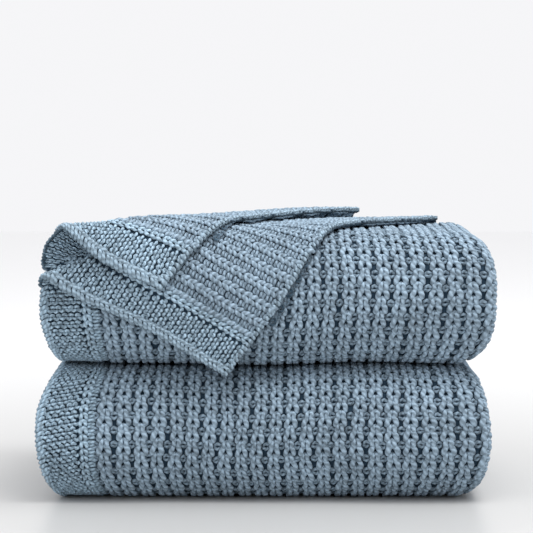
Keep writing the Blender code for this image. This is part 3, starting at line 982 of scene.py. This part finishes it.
def ends():
    """The cast-off and cast-on edges, which lie one on the other at the back of the top."""
    cast_off = rim(1 * MM)
    p, q, _ = cast_off[0].reshape(-1, len(END_LOOP.points), 3).mean(axis=1).T
    sites = in_front_of(UNDER, 1)(p, q) & in_front_of(OVER, 2)(p, q)
    cast_on = rim(STRIP_ROUTE.q_at(U_END) - 3 * MM, reversed_q=True)
    parts = [masked(cast_off, sites), cast_on]
    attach(yarn_piece("end_edges", parts, folded(STRIP_ROUTE), "knit_edge"), "upper_bundle")


def masked(part, sites):
    """Only the stitches of a group whose site is kept."""
    points, quads, uvs, tones = part
    count = len(sites)
    size, faces = len(points) // count, len(quads) // count
    kept = np.flatnonzero(sites)
    new_quads = quads.reshape(count, faces, 4)[kept] - kept[:, None, None] * size
    new_quads = new_quads + (np.arange(len(kept)) * size)[:, None, None]
    return (
        points.reshape(count, size, 3)[kept].reshape(-1, 3),
        new_quads.reshape(-1, 4),
        uvs.reshape(count, -1, 2)[kept].reshape(-1, 2),
        tones.reshape(count, size)[kept].ravel(),
    )


FLAP_GROUND = -1.3 * MM  # where the ground cloth lies in a turned corner, which shows both its sides
FLAP_REACH = 330 * MM  # further in from the hem than either corner goes


def turned_corner(name, corner):
    """One turned corner: its cloth, border, reverse ribs and edges."""
    span = (-70 * MM, corner.hem_length + 60 * MM)

    def keep(b, a):
        return corner.holds(b, a, before_end=4 * MM)

    def upper_side(flat):
        return corner.fold(flat * (1, 1, 0.82) + (0, 0, 0.35 * MM))

    def lower_side(flat):
        return corner.fold(flat * (1, 1, -0.42) + (0, 0, GROUND_HEIGHT * 0.42 - 1.2 * MM))

    along_hem = steps(-100 * MM, corner.hem_length + 70 * MM, 6 * MM)
    bm = flat_grid(steps(2 * MM, FLAP_REACH, 6 * MM), along_hem)

    def spare(centre):
        return not corner.holds(centre.x, centre.y, before_end=-12 * MM, past_roll=5 * MM)

    gone = [face for face in bm.faces if spare(face.calc_center_median())]
    bmesh.ops.delete(bm, geom=gone, context="FACES")
    free_end = (0, corner.hem_length - EDGE_INSET)
    cut_away(bm, lambda centre: True, free_end, (corner.edge_slope, -1))
    cut_away(
        bm,
        lambda centre: corner.from_crease(centre.x, centre.y)[0] < 0,
        corner.flat_at(corner.crease_length - 2 * MM),
        (-float(corner.inward @ corner.crease), -float(corner.hem @ corner.crease)),
    )
    pieces = [cloth_piece(name + "_cloth", bm, corner.fold, base=FLAP_GROUND)]
    field = (7.5 * MM, CHAIN_AT - 3.5 * MM)
    parts = garter(field, span, 0.0, keep) + chain(span, keep)
    pieces.append(yarn_piece(name + "_garter", parts, upper_side, "knit_garter"))
    cords = reverse_ribs((BORDER_WIDTH, FLAP_REACH), span, keep)
    pieces.append(yarn_piece(name + "_reverse", cords, upper_side, "knit_rib"))
    beneath = garter((3 * MM, field[1]), span, 0.0, keep) + chain(span, keep)
    face = ribs((RIBBED[0], FLAP_REACH), span, keep)
    for title, parts, slot in (
        ("_garter_beneath", beneath, "knit_garter"),
        ("_ribs_beneath", face, "knit_rib"),
    ):
        pieces.append(yarn_piece(name + title, parts, lower_side, slot, inside_out=True))
    edge_b = np.arange(1 * MM, FLAP_REACH, LOOP_PITCH)
    edge_a = corner.to_end(edge_b) - 1 * MM
    sites = corner.holds(edge_b, edge_a)
    edge = [laid(END_LOOP, edge_b[sites], edge_a[sites], reversed_q=True)]
    behind = np.arange(0, np.pi * corner.radius, ROLL_LOOP_PITCH)
    end_b, end_a = corner.flat_at(corner.crease_length - 1 * MM, -behind)
    edge.append(laid(END_LOOP, end_b, end_a, reversed_q=True))
    hem = selvedge((span[0], corner.hem_length), 1 * MM, keep, wide=True)
    pieces.append(yarn_piece(name + "_edges", edge + hem, corner.fold, "knit_edge"))
    y = place_hanging(np.zeros(1), np.array([APEX]), np.zeros(1))[0, 1]
    for piece in pieces:
        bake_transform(piece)
    return pieces


CORD_APART = 4.5 * MM  # each cord from the middle of its ladder


def reverse_ribs(b_range, a_range, keep):
    """The reverse of the ribs: pairs of cords, with a ladder of short rungs between the pairs."""
    columns = b_range[0] + RIB_PITCH * (np.arange(int((b_range[1] - b_range[0]) / RIB_PITCH)) + 0.5)
    cord_b, cord_a = (v.ravel() for v in np.meshgrid(columns, rows(*a_range, COURSE / 2)))
    rung_b, rung_a = (v.ravel() for v in np.meshgrid(columns, rows(*a_range, COURSE / 4)))
    cord_b, cord_a = kept_places(cord_b, cord_a, keep)
    rung_b, rung_a = kept_places(rung_b, rung_a, keep)
    return [
        laid(CORD, cord_b - CORD_APART, cord_a),
        laid(CORD, cord_b + CORD_APART, cord_a, mirrored=True),
        laid(RUNG, rung_b, rung_a),
    ]


LAYER_PARTS = (
    (1, EDGE_INSET, RIGHT_SPLIT),
    (4, RIGHT_SPLIT, LEFT_SPLIT),
    (3, LEFT_SPLIT, INNER_SPLIT),
    (2, INNER_SPLIT, WIDTH - EDGE_INSET),
)


def bend_round(piece):
    """Bakes the transform of a piece of the rear fold into its mesh."""
    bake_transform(piece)


def rear_folds():
    """Both passes of the strip round the rear fold, in a piece for each layer, as each turns about
    its own radius: {pass: [(ground cloth, [its stitches])]}."""
    strip, face = folded(STRIP_ROUTE), folded(FACE_ROUTE)
    made = {}
    for name, first in (("inner", 3), ("outer", 11)):
        made[name] = []
        span, face_span = q_range(first, first + 1, STRIP_ROUTE), q_range(first, first + 1)
        for layer, start, end in LAYER_PARTS:
            title = f"rear_{name}_layer_{layer}"
            widths = [start] + [p for p in across_values() if start + MM < p < end - MM] + [end]
            bm = flat_grid(widths, along_values(first, first + 1))
            cloth = cloth_piece(title + "_cloth", bm, strip)
            stitches = []
            if layer == 1:
                parts = ribs((RIBBED[0], RIGHT_SPLIT), face_span)
                stitches.append(yarn_piece(title + "_ribs", parts, face, "knit_rib"))
                parts = garter(GARTER_FIELD, face_span) + chain(face_span)
                parts += selvedge(face_span, SELVEDGE_AT)
                stitches.append(yarn_piece(title + "_border", parts, face, "knit_garter"))
            elif layer == 4:
                parts = ribs((RIGHT_SPLIT, SIDE_FOLD[1]), span)
                stitches.append(yarn_piece(title + "_ribs", parts, strip, "knit_rib"))
            elif layer == 3:
                q = rows(*span, COURSE)
                parts = [laid(WIDE_STITCH, LEFT_SPLIT, q), laid(NARROW_STITCH, LEFT_SPLIT, q)]
                stitches.append(yarn_piece(title + "_ribs", parts, strip, "knit_rib"))
            else:
                parts = selvedge(span, WIDTH - SELVEDGE_AT, mirrored=True)
                stitches.append(yarn_piece(title + "_edge", parts, strip, "knit_edge"))
            for piece in [cloth] + stitches:
                bend_round(piece)
            made[name].append((cloth, stitches))
    return made


def nodes_named(*starts):
    return [name for name in frame["nodes"] if name.startswith(starts)]


def main():
    upper, upper_inner = upper_cloth()
    bm = flat_grid(across_values(), along_values(REAR_END, REAR_AGAIN))
    lower = cloth_piece("lower_cloth", bm, folded(STRIP_ROUTE))
    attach(upper, "upper_bundle")
    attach(upper_inner, "upper_bundle")
    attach(lower, "lower_bundle")
    face_ribs()
    left_ribs()
    borders()
    ends()
    bared_layers()
    under = turned_corner("under_corner", UNDER)
    over = turned_corner("over_corner", OVER)
    rear = rear_folds()
    on_body = {}
    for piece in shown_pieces():
        if piece.parent is not None and "_cloth" not in piece.name and "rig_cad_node" not in piece:
            on_body.setdefault(piece["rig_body"], []).append(piece)
    inner_run = nodes_named("under_ribbed", "under_face", "under_second")
    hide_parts(*nodes_named("lower_"))
    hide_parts("inner_ribbed_panel", "cast_on_edge", *inner_run)
    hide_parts("cast_off_edge", *nodes_named("face_", "second_"))
    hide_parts(*nodes_named("under_corner", "under_tip"))
    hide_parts(*nodes_named("over_corner", "over_tip"))
    for name, layers in rear.items():
        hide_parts(*nodes_named("rear_" + name))
    light_and_camera()


# The floor's painted shade, grey round the throw, fades out between these distances
FLOOR_SHADE_START, FLOOR_SHADE_END = 0.25, 0.95  # the floor gets paler between these distances from its middle


def pale_floor():
    """Satin white board with painted shade: grey near its middle, round and under the throw, paling to
    near white further out, where it fades into the white backdrop. It holds a soft shadow and a faint
    reflection under the throw."""
    material, tree, shader = new_material("pale_floor", Roughness=0.35)
    where = node(tree, "ShaderNodeTexCoord").outputs["Object"]
    away = node(tree, "ShaderNodeVectorMath", [(0, where)], operation="LENGTH").outputs["Value"]
    share = node(
        tree, "ShaderNodeMapRange", [("Value", away)], From_Min=FLOOR_SHADE_START, From_Max=FLOOR_SHADE_END
    )
    # Painted shade: grey near the throw, near white further out
    shade = mixed_colour(tree, share.outputs["Result"], "#C2C2C1", "#F6F6F6")
    tree.links.new(shader.inputs["Base Color"], shade)
    return material


def light_and_camera():
    """A bright, even white studio, a soft key light overhead, and a long lens from the front."""
    floor_mesh = bpy.data.meshes.new("floor")
    corners = [(-3, -3, 0), (3, -3, 0), (3, 3, 0), (-3, 3, 0)]
    floor_mesh.from_pydata(corners, [], [(0, 1, 2, 3)])
    floor = added("floor", floor_mesh)
    floor_mesh.materials.append(pale_floor())
    world = bpy.context.scene.world or bpy.data.worlds.new("studio")
    bpy.context.scene.world = world
    world.use_nodes = True
    background = world.node_tree.nodes["Background"]
    background.inputs["Color"].default_value = colour("#F9F9FB")
    background.inputs["Strength"].default_value = 0.97
    bpy.context.scene.view_settings.view_transform = "Standard"
    for name, spot, size, power in (
        ("key", Vector((0.35, -0.35, 1.6)), 1.0, 22),
        ("fill", Vector((-1.2, -1.2, 0.9)), 1.2, 2),
    ):
        light = bpy.data.lights.new(name, "AREA")
        light.size, light.energy = size, power
        lamp = added(name, light)
        lamp.location = spot
        lamp.rotation_euler = (Vector((0, 0, 0.1)) - spot).to_track_quat("-Z", "Y").to_euler()
    camera_data = bpy.data.cameras.new("camera")
    camera = added("camera", camera_data)
    aim, distance, elevation, half_view = Vector((0.0, -0.107, 0.1715)), 1.6, math.radians(4.5), 0.189
    camera.location = aim + Vector((0, -math.cos(elevation), math.sin(elevation))) * distance
    camera.rotation_euler = (aim - camera.location).to_track_quat("-Z", "Y").to_euler()
    camera_data.lens = 0.5 * camera_data.sensor_width / (half_view / distance)
    bpy.context.scene.camera = camera


main()
